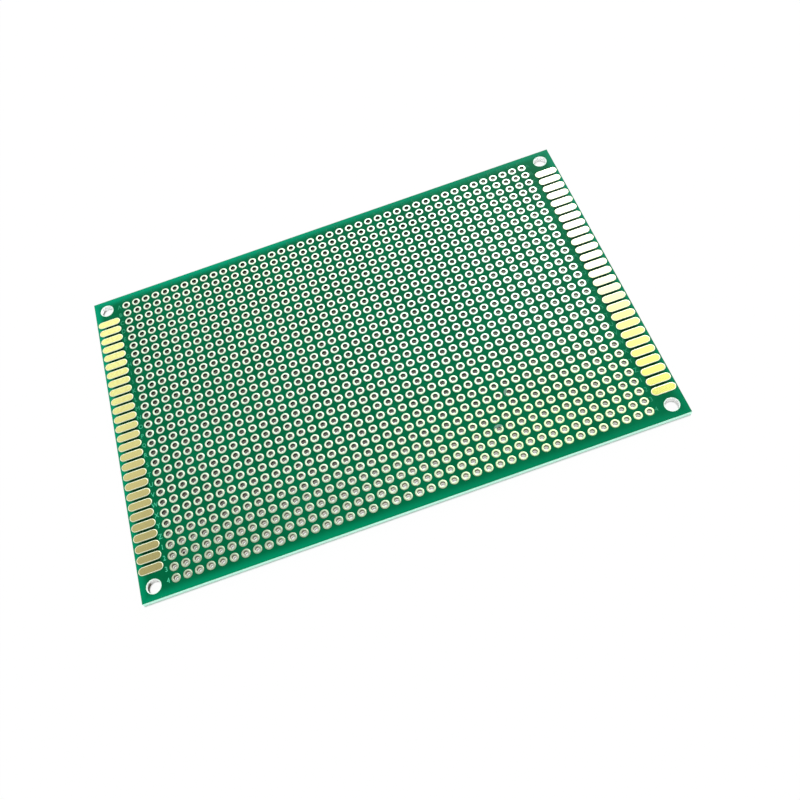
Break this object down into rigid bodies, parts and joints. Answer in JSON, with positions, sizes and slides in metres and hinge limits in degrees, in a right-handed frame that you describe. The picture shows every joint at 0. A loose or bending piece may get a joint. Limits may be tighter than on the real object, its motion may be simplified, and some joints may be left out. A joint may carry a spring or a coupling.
{
  "type": "prototype board",
  "caption": "Flat rectangular circuit board with a grid of tin-plated through holes, edge finger pads, corner mounting holes and a glossy green coat.",
  "frame": {"origin": "centre of the board at the plane of its lower pads, which it rests on", "axes": "+X along the long side, +Y across it towards the first indexed row, +Z out of the upper face"},
  "size_m": [0.12, 0.08, 0.0016],
  "materials": {
    "laminate": "cut edge of woven glass and resin",
    "green_coat": "glossy",
    "finger_tin": "satin, warm tin",
    "ring_tin": "satin tin over copper"
  },
  "bodies": {
    "root": {"substrate": "laminate", "coat_top": "green_coat", "coat_bottom": "green_coat", "fingers_top_left": "finger_tin", "fingers_top_right": "finger_tin", "fingers_bottom_left": "finger_tin", "fingers_bottom_right": "finger_tin", "plated_row_a": "ring_tin", "plated_row_b": "ring_tin", "plated_row_c": "ring_tin", "plated_row_d": "ring_tin", "plated_row_e": "ring_tin", "plated_row_f": "ring_tin", "plated_row_g": "ring_tin", "plated_row_h": "ring_tin", "plated_row_i": "ring_tin", "plated_row_j": "ring_tin", "plated_row_k": "ring_tin", "plated_row_l": "ring_tin", "plated_row_m": "ring_tin", "plated_row_n": "ring_tin", "plated_row_o": "ring_tin", "plated_row_p": "ring_tin", "plated_row_q": "ring_tin", "plated_row_r": "ring_tin", "plated_row_s": "ring_tin", "plated_row_t": "ring_tin", "plated_row_u": "ring_tin", "plated_row_v": "ring_tin", "plated_row_w": "ring_tin", "plated_row_x": "ring_tin", "plated_row_y": "ring_tin", "plated_row_z": "ring_tin", "plated_row_1": "ring_tin", "plated_row_2": "ring_tin", "plated_row_3": "ring_tin", "plated_row_4": "ring_tin"}
  },
  "joints": []
}
